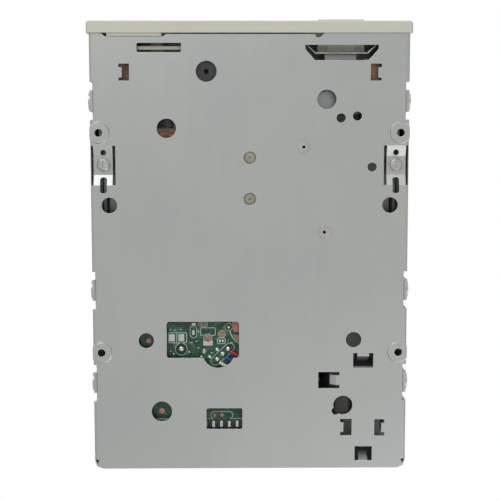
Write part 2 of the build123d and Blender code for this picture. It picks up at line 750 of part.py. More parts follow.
def stator_core():
    """Stack of laminations with spread pole tips."""
    z = (4.6, 6.2)
    reach = stator_outline_radius() - 0.35
    core = drum(0, 0, 7.0, z)
    half_tip = reach * sin(radians(360 / pole_count / 2 - 3.5))
    pole = block((0, reach), (-0.8, 0.8), z) + block((reach - 1.3, reach), (-half_tip, half_tip), z)
    for index in range(pole_count):
        core += Rot(0, 0, index * 360 / pole_count) * pole
    core -= drum(0, 0, 5.4, (0, 10))
    return Pos(0, spindle_y, 0) * core


def stator_coils():
    coils = Part()
    coil = block((8.0, stator_outline_radius() - 2.0), (-1.7, 1.7), (4.0, 6.8))
    coil -= block((0, 20), (-0.8, 0.8), (4.6, 6.2))
    for index in range(pole_count):
        coils += Rot(0, 0, index * 360 / pole_count) * coil
    return Pos(0, spindle_y, 0) * coils


def rotor_cup():
    inner = rotor_radius - rotor_wall
    roof = rotor_top - rotor_wall
    outline = [(shaft_radius, roof), (inner, roof), (inner, rotor_bottom)]
    outline += [(rotor_radius, rotor_bottom), (rotor_radius, rotor_top - 0.4)]
    outline += [(rotor_radius - 0.4, rotor_top), (shaft_radius, rotor_top)]
    cup = turned(outline, 0, spindle_y)
    for index in range(3):
        spot = Pos(0, spindle_y, 0) * Rot(0, 0, 30 + index * 120) * Pos(rotor_radius - 4.5, 0, rotor_top)
        cup -= spot * Cylinder(1.5, 4)
    return cup


def rotor_magnet():
    outer = rotor_radius - rotor_wall
    z = (rotor_bottom + 0.2, rotor_top - rotor_wall - 0.1)
    ring = drum(0, spindle_y, outer, z) - drum(0, spindle_y, outer - magnet_wall, z)
    return ring


def spindle_shaft():
    outline = [(0, 1.9), (shaft_radius - 0.3, 1.9), (shaft_radius, 2.2), (shaft_radius, 12.3)]
    outline += [(shaft_radius - 0.5, 12.9), (0, 12.9)]
    return turned(outline, 0, spindle_y)


def hub_table():
    """Magnetic table that takes the disk's steel hub, with the drive pin's slot."""
    outline = [(shaft_radius, rotor_top), (6.5, rotor_top), (6.5, hub_top - 1.2), (hub_radius, hub_top - 1.2)]
    outline += [(hub_radius, hub_top - 0.3), (hub_radius - 0.3, hub_top), (5.0, hub_top)]
    outline += [(5.0, hub_top + 0.4), (shaft_radius, hub_top + 0.4)]
    table = turned(outline, 0, spindle_y)
    return table - block((6.9, 9.6), (spindle_y - 1.6, spindle_y + 1.6), (5, 15))


def drive_pin():
    """Sprung pin that engages the hub's window, on its spring arm below the table."""
    pin = drum(8.2, spindle_y, 1.2, (hub_top - 1.8, hub_top + 1.0))
    arm = block((6.5, 9.8), (spindle_y - 1.3, spindle_y + 1.3), (hub_top - 2.1, hub_top - 1.8))
    return pin + arm


def main_board():
    """Controller board at the back left, notched for the guide rail."""
    front, rear = main_board_front, main_board_rear
    left, right = -(edge - 4.8), screw_axis_x - 8.6
    outline = [(left, front + 6), (left, rear), (right, rear), (right, back(26.0)), (9.5, back(26.0))]
    outline += [(9.5, front), (left + 8.0, front), (left + 8.0, front + 6)]
    board = slab(outline, main_z)
    board -= block((rail_x[0] - 0.7, rail_x[1] + 0.7), (rail_y[1] - 1.7, rail_y[1] + 0.7), (0, 10))
    board -= block((left - 1.0, left + 1.5), (mount_rear_y - 3.2, mount_rear_y + 3.2), (0, 10))
    return board


def board_spacers():
    """Moulded blocks that hold the main board off the floor."""
    blocks = Part()
    left = -(edge - 8.8)
    for x, inset in ((left, 44.0), (left, 23.0), (5.0, 47.0), (4.0, 24.5)):
        y = back(inset)
        blocks += block((x - 1.8, x + 1.8), (y - 1.8, y + 1.8), (plate_in, main_z[0]))
    return blocks


def chip(x, inset, z, height):
    """A packaged circuit between two distances from the rear end."""
    return block(x, (back(inset[0]), back(inset[1])), (z, z + height))


def board_chips():
    """Packaged circuits on the upper side of both boards."""
    top = main_z[1]
    left = -edge
    chips = chip((left + 12.8, left + 24.8), (35.0, 23.0), top, 1.9)
    chips += chip((left + 28.8, left + 33.8), (33.0, 25.0), top, 1.5)
    chips += chip((3.0, 11.0), (22.4, 17.6), top, 1.6)
    low = (left + 25.8, left + 33.8)
    return chips + block(low, (10.0, 17.0), (board_z[1], board_z[1] + 1.8))


def board_parts():
    """Crystal, capacitors and resistors on the main board."""
    top = main_z[1]
    left = -edge
    parts = Part()
    for inset in (39.5, 32.5):
        parts += drum(left + 10.3, back(inset), 2.0, (top, top + 4.0))
    parts += chip((left + 15.8, left + 26.8), (21.2, 18.0), top, 3.2)
    for index in range(6):
        x = left + 28.3 + index * 2.2
        parts += chip((x, x + 1.2), (21.5, 19.4), top, 0.6)
    return parts


def header_columns_x():
    return [header_first_x + index * header_pitch for index in range(header_columns)]


def signal_pins():
    """Two rows of square pins, bent down at their back to reach the board."""
    half = header_pin / 2
    pins = Part()
    for x in header_columns_x():
        for z, y in ((5.7, back(14.3) + header_pitch), (5.7 + header_pitch, back(14.3))):
            bar = block((x - half, x + half), (y - half, back(0.8)), (z - half, z + half))
            bar += block((x - half, x + half), (y - half, y + half), (main_z[0] - 0.9, z))
            pins += bar
    return pins


def signal_header():
    """Right-angle pin header with its end feet on the floor."""
    first = header_first_x - 1.8
    last = header_first_x + (header_columns - 1) * header_pitch + 1.8
    z = (main_z[0] - 0.4, 10.2)
    y = (main_board_rear + 0.1, back(7.8))
    body = block((first, last), y, z)
    for x in (first, last - 3.0):
        body += block((x, x + 3.0), y, (plate_in, z[0]))
    return body - signal_pins()


def power_pins():
    half = header_pin / 2
    pins = Part()
    for index in range(4):
        x = power_x + (index - 1.5) * power_pitch
        bar = block((x - half, x + half), (back(14.0), back(2.5)), (5.0 - half, 5.0 + half))
        leg = block((x - half, x + half), (back(14.0), back(14.0) + header_pin), (main_z[0] - 0.4, 5.0))
        pins += bar + leg
    return pins


def power_connector():
    """Four-pin power header with its keyed shroud."""
    half = 2 * power_pitch + 0.9
    x = (power_x - half, power_x + half)
    body = block(x, (main_board_rear + 0.1, back(9.0)), (plate_in, 8.6))
    body += block(x, (back(9.0), back(1.6)), (plate_in, plate_in + 1.0))
    for wall_x in (x[0], x[1] - 1.0):
        body += block((wall_x, wall_x + 1.0), (back(9.0), back(1.6)), (plate_in, 6.6))
    return body - power_pins()


def motor_flex():
    """Flat conductor from the motor board to the main board."""
    low, high = board_z[1], main_z[1]
    stations = (board_rear - 6, board_rear + 0.6, main_board_front - 1.5, main_board_front + 5)
    line = list(zip(stations, (low, low, high, high)))
    return web(line + [(y, z + 0.2) for y, z in reversed(line)], (-24.5, -15.5))


def head_flex():
    """Flat conductor that loops from the carriage's back down to the main board."""
    start, low = carriage_y + 22.0, main_z[1]
    line = [(start, 7.6), (start + 2.6, 7.0), (start + 2.0, low), (start + 6.0, low)]
    return web(line + [(start + 6.0, low + 0.2), (start + 2.3, low + 0.2), (start + 2.8, 7.2), (start, 7.8)],
               (-8.5, -3.5))


def led():
    return block(light_x, (8.1, 11.0), (board_z[1], light_z[1] + 0.2))


def light_pipe():
    return block(light_x, (-bezel_depth, 8.1), light_z)


def switch_places():
    return {"disk": -(edge - 10.6), "protect": -(edge - 15.4), "density": edge - 10.4}


plunger_radius = 0.9
plunger_y = 9.5


def switch_bodies():
    """Bodies of the three front sensors, and the track sensor behind the carriage."""
    places = switch_places()
    z = (board_z[1], 7.8)
    y = (plunger_y - 1.7, plunger_y + 1.8)
    bodies = block((places["disk"] - 2.2, places["protect"] + 2.2), y, z)
    bodies += block((places["density"] - 2.4, places["density"] + 2.4), y, z)
    for x in places.values():
        bodies -= drum(x, plunger_y, plunger_radius + pin_fit, (board_z[1] + 1.0, 10))
    rear = carriage_y + 22.6
    sensor = block((-1.5, 3.5), (rear, rear + 3.0), (main_z[1], 9.5))
    return bodies + sensor - block((-2, 4), (rear + 0.8, rear + 2.2), (main_z[1] + 1.8, 10))


def plunger(x):
    low = board_z[1] + 2.5
    outline = [(0, low), (plunger_radius, low), (plunger_radius, 11.6)]
    outline += [(plunger_radius - 0.4, 12.0), (0, 12.0)]
    return turned(outline, x, plunger_y)


def carriage():
    """Moulded head carriage: rod barrel, fork, follower arm, tower for the upper arm."""
    bottom, top = 6.4, 10.4
    c = carriage_y
    body = block((-9.0, 17.4), (c, c + 10.4), (bottom, top))
    body += block((-9.0, 9.5), (c + 10.4, c + 16.6), (bottom, top))
    body -= block((-6.0, 9.5), (c + 3.0, c + 13.5), (bottom - 1, top - 1.2))
    body += block((-6.0, 6.0), (head_y - 4.0, c), (7.2, 9.8))
    body += bar_y(rod_x, rod_z, rod_radius + 1.4, (c - 4.5, c + 10.0))
    body += block((-9.0, 9.0), (c + 16.6, c + 22.0), (bottom, arm_hinge_z - 2.4))
    for side in (-1, 1):
        ear = sorted((side * 7.0, side * 9.0))
        body += block(ear, (c + 16.6, c + 21.4), (arm_hinge_z - 2.4, arm_hinge_z))
        body += bar_x(arm_hinge_y, arm_hinge_z, 2.4, ear)
    jaw_x, jaw_y = (rail_x[0] + 0.5, -9.0), (c, c + 10.0)
    body += block(jaw_x, jaw_y, (rail_z[0] - side_gap - 1.0, rail_z[0] - side_gap))
    body += block(jaw_x, jaw_y, (rail_z[1] + side_gap, rail_z[1] + side_gap + 1.0))
    body += block((rail_x[1] + side_gap, -9.0), jaw_y, (rail_z[0] - side_gap, rail_z[1] + side_gap))
    arm_end = screw_axis_x - screw_thread_radius - 1.2
    body += block((17.4, arm_end), (follower_y - 2.5, follower_y + 2.5), (6.9, 10.2))
    body -= bar_y(rod_x, rod_z, rod_radius + shaft_fit, (c - 10.0, c + 20.0))
    body -= bar_x(arm_hinge_y, arm_hinge_z, 1.0, (-12, 12))
    return body - follower_pin()


def follower_pin():
    """Steel pin whose tip runs in the groove of the lead screw."""
    tip = screw_axis_x - screw_thread_radius + follower_depth
    return bar_x(follower_y, screw_axis_z, follower_radius, (tip - 4.0, tip))


def head_pad(z):
    return block((-2.6, 2.6), (head_y - 3.0, head_y + 3.0), z)


def lower_head():
    return head_pad((9.8, media_z - 0.05))


def raised(piece):
    """Turn a piece of the upper arm about its hinge, up to where it rests without a disk."""
    hinge = Pos(0, arm_hinge_y, arm_hinge_z)
    return hinge * Rot(-arm_lift, 0, 0) * Pos(0, -arm_hinge_y, -arm_hinge_z) * piece


def head_arm():
    """Upper arm drawn level over a loaded disk, with a stiffening rim."""
    z = (arm_top - 1.2, arm_top)
    c = carriage_y
    arm = slab([(-5.0, head_y - 4.5), (5.0, head_y - 4.5), (6.7, c + 8.0), (6.7, arm_hinge_y),
                (-6.7, arm_hinge_y), (-6.7, c + 8.0)], z)
    arm -= block((-3.2, 3.2), (c + 4.0, c + 13.0), (14, 18))
    arm += bar_x(arm_hinge_y, arm_hinge_z, 1.9, (-6.7, 6.7))
    arm += block((-3.4, 3.4), (head_y - 3.6, head_y + 3.6), (z[0] - 0.6, z[0]))
    arm -= bar_x(arm_hinge_y, arm_hinge_z, 1.0 + shaft_fit, (-12, 12))
    return raised(arm)


def upper_head():
    return raised(head_pad((media_z + 0.1, arm_top - 1.8)))


def arm_spring():
    """Leaf spring on the tower that presses the upper arm down."""
    rear, top = carriage_y + 22.0, arm_top + 1.1
    line = [(rear - 0.4, arm_hinge_z - 2.4), (rear - 0.4, top), (arm_hinge_y - 4.8, top)]
    return web(line + [(arm_hinge_y - 4.8, top + 0.3), (rear, top + 0.3), (rear, arm_hinge_z - 2.4)], (-2, 2))


def arm_pivot():
    return bar_x(arm_hinge_y, arm_hinge_z, 1.0, (-9.0, 9.0))


def guide_rod():
    return bar_y(rod_x, rod_z, rod_radius, rod_y)


def rod_clamps():
    clamps = Part()
    for y in (rod_y[0], rod_y[1] - 2.6):
        clamps += block((rod_x - 3.0, rod_x + 3.0), (y, y + 2.6), (plate_in, rod_z + 2.6))
    return clamps - guide_rod()


def guide_rail():
    """Folded rail that the carriage's fork runs on."""
    rail = block(rail_x, rail_y, rail_z)
    for start in (rail_y[0], rail_y[1] - 1.0):
        rail += block(rail_x, (start, start + 1.0), (plate_in, rail_z[0]))
    return rail


def stepper_motor():
    """Can-stack stepper with its front boss and a terminal block on top."""
    x, z = screw_axis_x, screw_axis_z
    middle = (motor_y[0] + motor_y[1]) / 2
    can = bar_y(x, z, motor_radius, (motor_y[0], middle - 0.3))
    can += bar_y(x, z, motor_radius, (middle + 0.3, motor_y[1] - 0.6))
    can += bar_y(x, z, motor_radius - 0.5, (middle - 0.3, middle + 0.3))
    can += bar_y(x, z, motor_radius - 1.6, (motor_y[1] - 0.6, motor_y[1]))
    can += bar_y(x, z, 3.0, (motor_y[0] - 1.6, motor_y[0]))
    can += block((x - 4.5, x + 4.5), (middle - 3.5, middle + 3.5), (z + 5.5, z + 9.0))
    return can - bar_y(x, z, screw_thread_radius + shaft_fit, (motor_y[0] - 2, motor_y[0] + 3.2))


def motor_bracket():
    """Folded bracket: an upright plate for the motor and a foot on the floor."""
    y = (motor_y[0] - 1.0, motor_y[0])
    x = (screw_axis_x - 8.4, screw_axis_x + 11.6)
    plate = block(x, y, (plate_in, screw_axis_z + motor_radius + 0.6))
    plate -= bar_y(screw_axis_x, screw_axis_z, 3.0, (y[0] - 5, y[1] + 5))
    return plate + block((x[1] - 3.5, x[1]), (y[1], y[1] + 11.0), (plate_in, plate_in + 1.0))


def lead_screw():
    """Spindle with a helical groove; one turn moves the carriage one lead."""
    x, z = screw_axis_x, screw_axis_z
    neck = screw_front + 3.1
    screw = bar_y(x, z, 0.8, (screw_front, neck))
    screw += bar_y(x, z, screw_thread_radius, (neck, motor_y[0] + 3.0))
    start = thread_y[0]
    length = thread_y[1] - start
    path = Helix(pitch=screw_lead, height=length, radius=screw_thread_radius)
    profile = Plane(origin=path @ 0, z_dir=path % 0) * Circle(groove_radius)
    groove = sweep(profile, path=path, is_frenet=True)
    phase = 180 - 360 * (follower_y - start) / screw_lead
    groove = Pos(x, start, z) * Rot(-90, 0, 0) * Rot(0, 0, phase) * groove
    return screw - groove


def screw_support():
    """Front bearing block of the lead screw."""
    post = block((screw_axis_x - 2.6, screw_axis_x + 2.6), (screw_front, screw_front + 2.0),
                 (plate_in, screw_axis_z + 2.0))
    return post - bar_y(screw_axis_x, screw_axis_z, 0.8 + shaft_fit, (screw_front - 4, screw_front + 6))


def build():
    os.makedirs("parts", exist_ok=True)
    save("bottom_shell", bottom_shell())
    save("top_cover", top_cover())
    save("front_bezel", front_bezel())
    save("door_flap", door_flap())
    save("eject_button", eject_button())
    save("button_spring", button_spring())
    save("slider_plate", slider_plate())
    save("slider_studs", slider_studs())
    save("slider_springs", slider_springs())
    save("side_rail_right", side_rail())
    save("side_rail_left", mirror(side_rail(), Plane.YZ))
    save("rail_screws", rail_screws())
    save("disk_cage", disk_cage())
    save("cage_pins", cage_pins())
    save("lever_rivet", lever_rivet())
    save("lever_spring", lever_spring())
    save("shutter_lever", shutter_lever())
    save("motor_board", motor_board())
    save("sensor_board", sensor_board())
    save("board_posts", board_posts())
    save("board_boss", board_boss())
    save("bearing_housing", bearing_housing())
    save("stator_core", stator_core())
    save("stator_coils", stator_coils())
    save("rotor_cup", rotor_cup())
    save("rotor_magnet", rotor_magnet())
    save("spindle_shaft", spindle_shaft())
    save("hub_table", hub_table())
    save("drive_pin", drive_pin())
    save("main_board", main_board())
    save("board_spacers", board_spacers())
    save("board_chips", board_chips())
    save("board_parts", board_parts())
    save("signal_header", signal_header())
    save("signal_pins", signal_pins())
    save("power_connector", power_connector())
    save("power_pins", power_pins())
    save("motor_flex", motor_flex())
    save("head_flex", head_flex())
    save("led", led())
    save("light_pipe", light_pipe())
    save("switch_bodies", switch_bodies())
    for name, x in switch_places().items():
        save(f"plunger_{name}", plunger(x))
    save("carriage", carriage())
    save("lower_head", lower_head())
    save("follower_pin", follower_pin())
    save("head_arm", head_arm())
    save("upper_head", upper_head())
    save("arm_spring", arm_spring())
    save("arm_pivot", arm_pivot())
    save("guide_rod", guide_rod())
    save("rod_clamps", rod_clamps())
    save("guide_rail", guide_rail())
    save("stepper_motor", stepper_motor())
    save("motor_bracket", motor_bracket())
    save("lead_screw", lead_screw())
    save("screw_support", screw_support())


build()
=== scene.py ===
# %% [markdown]
# An internal floppy disk drive lies on its mounting pads and is seen from below, with its plastic
# front at the top of the picture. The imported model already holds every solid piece. This lesson
# gives each piece the finish of the real one, and adds what is too fine for the solids: solder,
# printed marks and pads on the main board, bright pin tails and three thin wires.

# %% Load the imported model
import math

import bmesh
import bpy
import numpy as np
from mathutils import Matrix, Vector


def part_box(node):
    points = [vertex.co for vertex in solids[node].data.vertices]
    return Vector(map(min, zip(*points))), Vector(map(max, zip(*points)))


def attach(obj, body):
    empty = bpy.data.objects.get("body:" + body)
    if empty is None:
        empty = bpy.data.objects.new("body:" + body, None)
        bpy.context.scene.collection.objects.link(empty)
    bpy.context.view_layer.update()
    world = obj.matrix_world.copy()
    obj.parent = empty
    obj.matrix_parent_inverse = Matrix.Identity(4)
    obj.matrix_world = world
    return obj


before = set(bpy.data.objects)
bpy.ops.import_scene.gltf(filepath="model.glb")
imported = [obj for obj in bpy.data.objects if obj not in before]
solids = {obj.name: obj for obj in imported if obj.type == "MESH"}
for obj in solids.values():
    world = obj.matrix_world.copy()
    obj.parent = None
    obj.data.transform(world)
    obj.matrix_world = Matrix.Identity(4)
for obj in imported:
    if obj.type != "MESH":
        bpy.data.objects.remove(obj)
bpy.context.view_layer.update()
mm = 0.001
bezel_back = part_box("bottom_shell")[0].y


# %% [markdown]
# With this focal length the fit puts the camera about a third of a metre from the drive, so the
# near edges spread a little and the lens matters. Its place and its three angles were found by
# fitting the four mounting pads and the ends of the case, because guessing them by eye leaves the
# row of holes in the wrong place.

# %% Camera
picture_pixels = 500
focal_pixels = 1050.0
camera_place = np.array([-3.31, -30.85, -331.49]) * mm
tilt, swing, roll = np.radians([5.45, -0.573, -0.119])


def turn(axis, angle):
    """Rotation matrix about x, y or z: the axis keeps its place and the other two turn."""
    c, s = math.cos(angle), math.sin(angle)
    first, second = [(1, 2), (2, 0), (0, 1)]["xyz".index(axis)]
    matrix = np.eye(3)
    matrix[first, first] = matrix[second, second] = c
    matrix[first, second], matrix[second, first] = -s, s
    return matrix


def add_camera():
    """Pinhole camera: picture right is +X, picture down is +Y, and it looks up along +Z."""
    data = bpy.data.cameras.new("camera")
    data.sensor_width = 36.0
    data.lens = focal_pixels / picture_pixels * data.sensor_width
    data.clip_start = 0.01
    camera = bpy.data.objects.new("camera", data)
    bpy.context.scene.collection.objects.link(camera)
    aim = turn("z", roll) @ turn("y", swing) @ turn("x", tilt)
    world = np.eye(4)
    world[:3, :3] = aim.T @ np.diag([1.0, -1.0, -1.0])
    world[:3, 3] = camera_place
    camera.matrix_world = Matrix(world.tolist())
    bpy.context.scene.camera = camera


add_camera()
bpy.context.scene.view_settings.view_transform = "Standard"
print("camera", np.round(camera_place / mm, 1), "mm")


# %% [markdown]
# Nodes are easier to read when each one is made, set and linked in one line. Two small helpers do
# that, and the materials below use them.

# %% Helpers for node trees
def node(tree, kind, links=None, **settings):
    """Add a node, set its properties or input values by name, and link sockets into it."""
    made = tree.nodes.new("ShaderNode" + kind)
    for name, value in settings.items():
        if hasattr(made, name):
            setattr(made, name, value)
        else:
            made.inputs[name.replace("_", " ")].default_value = value
    for name, source in (links or {}).items():
        tree.links.new(source, made.inputs[name])
    return made


def math_node(tree, operation, *terms):
    """A Math node whose inputs are sockets or plain numbers."""
    made = tree.nodes.new("ShaderNodeMath")
    made.operation = operation
    for index, term in enumerate(terms):
        if isinstance(term, (int, float)):
            made.inputs[index].default_value = term
        else:
            tree.links.new(term, made.inputs[index])
    return made.outputs[0]


# %% [markdown]
# A studio for both sides. The floor has to be seen from above and let the picture through from
# below, so it shows only to camera rays that meet its upper face. The world is white to the camera
# and to clear pieces, a little dimmer to mirror rays so that satin sheet stays grey, and dimmer
# still to the light that falls on the drive.

# %% Floor, world and lamps
def add_floor():
    """A wide square just under the drive that shows to the camera alone, and only from above."""
    half, level = 3.0, -0.0004
    mesh = bpy.data.meshes.new("floor")
    signs = ((-1, -1), (1, -1), (1, 1), (-1, 1))
    mesh.from_pydata([(x * half, y * half, level) for x, y in signs], [], [(0, 1, 2, 3)])
    floor = bpy.data.objects.new("floor", mesh)
    bpy.context.scene.collection.objects.link(floor)
    material = bpy.data.materials.new("pale floor")
    material.use_nodes = True
    tree = material.node_tree
    tree.nodes.clear()
    path = node(tree, "LightPath")
    side = node(tree, "NewGeometry")
    upper = math_node(tree, "SUBTRACT", 1.0, side.outputs["Backfacing"])
    seen = math_node(tree, "MULTIPLY", path.outputs["Is Camera Ray"], upper)
    clear = node(tree, "BsdfTransparent")
    pale = node(tree, "BsdfDiffuse", Color=(0.86, 0.86, 0.85, 1))
    mix = node(tree, "MixShader", {0: seen, 1: clear.outputs[0], 2: pale.outputs[0]})
    node(tree, "OutputMaterial", {"Surface": mix.outputs[0]})
    mesh.materials.append(material)


def add_world():
    """White to the camera and to clear pieces, less so to mirror rays, dim to all other light."""
    mirror_white, dim_strength = 0.6, 0.4
    world = bpy.data.worlds.new("studio")
    bpy.context.scene.world = world
    world.use_nodes = True
    tree = world.node_tree
    tree.nodes.clear()
    path = node(tree, "LightPath").outputs
    shine = math_node(tree, "MULTIPLY", path["Is Glossy Ray"], mirror_white)
    white = math_node(tree, "MAXIMUM", path["Is Camera Ray"], shine)
    white = math_node(tree, "MAXIMUM", white, path["Is Transmission Ray"])
    dim = node(tree, "Background", Color=(1, 1, 1, 1), Strength=dim_strength)
    full = node(tree, "Background", Color=(1, 1, 1, 1), Strength=1.0)
    mix = node(tree, "MixShader", {0: white, 1: dim.outputs[0], 2: full.outputs[0]})
    node(tree, "OutputWorld", {"Surface": mix.outputs[0]})


def add_lamp(name, place, size, power):
    """Square area lamp that faces the origin, in the middle of the drive's mounting face."""
    data = bpy.data.lights.new(name, "AREA")
    data.size = size
    data.energy = power
    lamp = bpy.data.objects.new(name, data)
    bpy.context.scene.collection.objects.link(lamp)
    back = np.array(place) / np.linalg.norm(place)
    right = np.cross([0.0, 1.0, 0.0], back)
    right /= np.linalg.norm(right)
    world = np.eye(4)
    world[:3, :3] = np.column_stack([right, np.cross(back, right), back])
    world[:3, 3] = place
    lamp.matrix_world = Matrix(world.tolist())


add_floor()
add_world()
add_lamp("key from below", (-0.3, -0.7, -0.65), 0.7, 5.0)
add_lamp("fill from below", (0.4, 0.75, -0.55), 0.8, 4.0)
add_lamp("overhead softbox", (-0.3, -0.5, 0.9), 0.9, 6.5)
add_lamp("front softbox", (0.4, -0.9, 0.35), 0.7, 3.0)
add_lamp("rear fill", (0.3, 0.8, 0.5), 0.8, 3.0)
print(len(bpy.data.lights), "lamps")


# %% [markdown]
# Four effects are shared by many finishes, so each is a node group that is built once. Thin bright
# edges, where light catches the cut sheet, are a painted highlight: a Bevel node finds them,
# because most edges of the solids are sharp, and the finish paints them paler. Rolled grain is the
# faint streaks of sheet steel. Mottle is the cloudy tint of zinc plating or of old plastic. Pebble
# is the fine texture of a mould.

# %% Shared effects
def new_group(name, inputs, outputs):
    """Start a node group with number inputs and named outputs, and return its tree and ends."""
    group = bpy.data.node_groups.new(name, "ShaderNodeTree")
    for label, value in inputs.items():
        socket = group.interface.new_socket(label, in_out="INPUT", socket_type="NodeSocketFloat")
        socket.default_value = value
    for label, kind in outputs.items():
        group.interface.new_socket(label, in_out="OUTPUT", socket_type="NodeSocket" + kind)
    ins = group.nodes.new("NodeGroupInput").outputs
    outs = group.nodes.new("NodeGroupOutput").inputs
    return group, ins, outs


def edge_group():
    """Mask: one minus the dot product of the rounded and true normals, times a gain, up to 1."""
    group, ins, outs = new_group("painted rim highlight", {"Radius": 0.0002, "Gain": 6.0},
                                 {"Mask": "Float", "Normal": "Vector"})
    soft = node(group, "Bevel", {"Radius": ins["Radius"]}, samples=4)
    plain = node(group, "NewGeometry")
    dot = node(group, "VectorMath", {0: soft.outputs[0], 1: plain.outputs["True Normal"]},
               operation="DOT_PRODUCT")
    rise = math_node(group, "SUBTRACT", 1.0, dot.outputs["Value"])
    mask = math_node(group, "MULTIPLY", rise, ins["Gain"])
    # The mask marks where the finish paints a paler colour, a painted highlight along edges.
    group.links.new(math_node(group, "MINIMUM", mask, 1.0), outs["Mask"])
    group.links.new(soft.outputs[0], outs["Normal"])
    return group


def grain_group():
    """Streaks: noise whose Y coordinate is scaled down, which draws it out along the sheet."""
    group, ins, outs = new_group("rolled grain", {"Scale": 900.0, "Length": 0.06},
                                 {"Value": "Float"})
    place = node(group, "TexCoord").outputs["Object"]
    split = node(group, "SeparateXYZ", {0: place})
    along = math_node(group, "MULTIPLY", split.outputs["Y"], ins["Length"])
    joined = node(group, "CombineXYZ", {"X": split.outputs["X"], "Y": along,
                                        "Z": split.outputs["Z"]})
    noise = node(group, "TexNoise", {"Vector": joined.outputs[0], "Scale": ins["Scale"]},
                 Detail=3.0)
    group.links.new(noise.outputs[0], outs["Value"])
    return group


def mottle_group():
    """Clouds: noise of several octaves, stretched about its middle."""
    group, ins, outs = new_group("mottle", {"Scale": 40.0}, {"Value": "Float"})
    place = node(group, "TexCoord").outputs["Object"]
    large = node(group, "TexNoise", {"Vector": place, "Scale": ins["Scale"]},
                 Detail=4.0, Roughness=0.55)
    spread = node(group, "MapRange", {"Value": large.outputs[0]}, From_Min=0.3, From_Max=0.7)
    group.links.new(spread.outputs[0], outs["Value"])
    return group


def pebble_group():
    """Fine mould texture: noise of a very small size."""
    group, ins, outs = new_group("mould pebble", {"Scale": 3500.0}, {"Height": "Float"})
    place = node(group, "TexCoord").outputs["Object"]
    noise = node(group, "TexNoise", {"Vector": place, "Scale": ins["Scale"]},
                 Detail=2.0, Roughness=0.6)
    group.links.new(noise.outputs[0], outs["Height"])
    return group


effects = {"edge": edge_group(), "grain": grain_group(),
           "mottle": mottle_group(), "pebble": pebble_group()}
print("effects:", ", ".join(effects))


# %% [markdown]
# A finish is a Principled shader with those effects in front of it. Colours are written as 8-bit
# display values and turned into linear ones. Those of the pan, the front's edge and the main board
# were tuned until their mean shade came near the photograph's; pieces that it doesn't show have
# guessed colours. Each finish has its own grain size, painted edge highlight and roughness range.

# %% The maker of finishes
finishes = {}
streak_shade, streak_share, relief_depth = 0.86, 0.22, 0.05


def srgb(*values):
    """Linear colour of an 8-bit display colour: the usual curve with an exponent of 2.4."""
    v = np.array(values) / 255.0
    linear = np.where(v <= 0.04045, v / 12.92, ((v + 0.055) / 1.055) ** 2.4)
    return (*[float(c) for c in linear], 1.0)


def place_group(tree, effect, **values):
    """Put one of the effects into a tree, set its inputs, and return its outputs."""
    made = tree.nodes.new("ShaderNodeGroup")
    made.node_tree = effects[effect]
    for name, value in values.items():
        made.inputs[name].default_value = value
    return made.outputs


def mixed(tree, factor, first, second):
    """Blend two colours, each a socket or a plain colour, by a factor socket."""
    mix = tree.nodes.new("ShaderNodeMix")
    mix.data_type = "RGBA"
    tree.links.new(factor, mix.inputs["Factor"])
    for slot, value in ((6, first), (7, second)):
        if isinstance(value, tuple):
            mix.inputs[slot].default_value = value
        else:
            tree.links.new(value, mix.inputs[slot])
    return mix.outputs[2]


def finish(name, colour, other, rough, metal=0.0, edge=None, edge_radius=0.15, mottle=40.0,
           grain=None, pebble=None, bump=0.02, **sockets):
    """A material: two mottled tints, a paler edge if given one, and a roughness that wanders."""
    material = bpy.data.materials.new(name)
    material.use_nodes = True
    tree = material.node_tree
    tree.nodes.clear()
    shader = node(tree, "BsdfPrincipled", Metallic=metal)
    cloud = place_group(tree, "mottle", Scale=mottle)["Value"]
    tint = mixed(tree, cloud, colour, other)
    height = cloud
    if grain:
        streaks = place_group(tree, "grain", Scale=grain)["Value"]
        dark = tuple(c * streak_shade for c in colour[:3]) + (1.0,)
        tint = mixed(tree, math_node(tree, "MULTIPLY", streaks, streak_share), tint, dark)
        height = streaks
    if pebble:
        height = place_group(tree, "pebble", Scale=pebble)["Height"]
    highlight_and_bevel = place_group(tree, "edge", Radius=edge_radius * mm)
    # Painted highlight: a paler colour along the edges that the Bevel node finds.
    if edge:
        tint = mixed(tree, highlight_and_bevel["Mask"], tint, edge)
    tree.links.new(tint, shader.inputs["Base Color"])
    span = node(tree, "MapRange", {"Value": height}, To_Min=rough[0], To_Max=rough[1])
    tree.links.new(span.outputs[0], shader.inputs["Roughness"])
    relief = node(tree, "Bump", {"Height": height, "Normal": highlight_and_bevel["Normal"]},
                  Strength=bump, Distance=relief_depth * mm)
    tree.links.new(relief.outputs[0], shader.inputs["Normal"])
    for label, value in sockets.items():
        shader.inputs[label.replace("_", " ")].default_value = value
    node(tree, "OutputMaterial", {"Surface": shader.outputs[0]})
    finishes[name] = material


# %% [markdown]
# The case. The pan and the inner sheets are zinc plated steel with a satin, slightly green grey;
# their cut edges catch the light. The lid is the same sheet, a little brighter. The front is the
# warm beige of office computers, in a plastic with a fine mould texture.

# %% Sheet metal and front plastics
finish("zinc_sheet", srgb(169, 173, 171), srgb(175, 177, 172), (0.34, 0.46), 0.85,
       edge=srgb(232, 234, 228), edge_radius=0.14, mottle=26.0, grain=900.0)
finish("cover_steel", srgb(176, 179, 178), srgb(184, 186, 184), (0.3, 0.42), 0.9,
       edge=srgb(232, 234, 230), mottle=22.0, grain=1100.0)
finish("inner_steel", srgb(168, 170, 168), srgb(150, 152, 152), (0.3, 0.42), 0.9,
       edge=srgb(220, 220, 214), mottle=60.0, grain=1300.0)
finish("bezel_plastic", srgb(196, 195, 181), srgb(201, 200, 188), (0.42, 0.55),
       edge=srgb(214, 213, 203), edge_radius=0.25, mottle=30.0, pebble=2600.0, bump=0.08)
finish("button_plastic", srgb(200, 199, 187), srgb(205, 204, 193), (0.38, 0.5),
       edge=srgb(216, 215, 205), edge_radius=0.25, mottle=50.0, pebble=2600.0, bump=0.06)
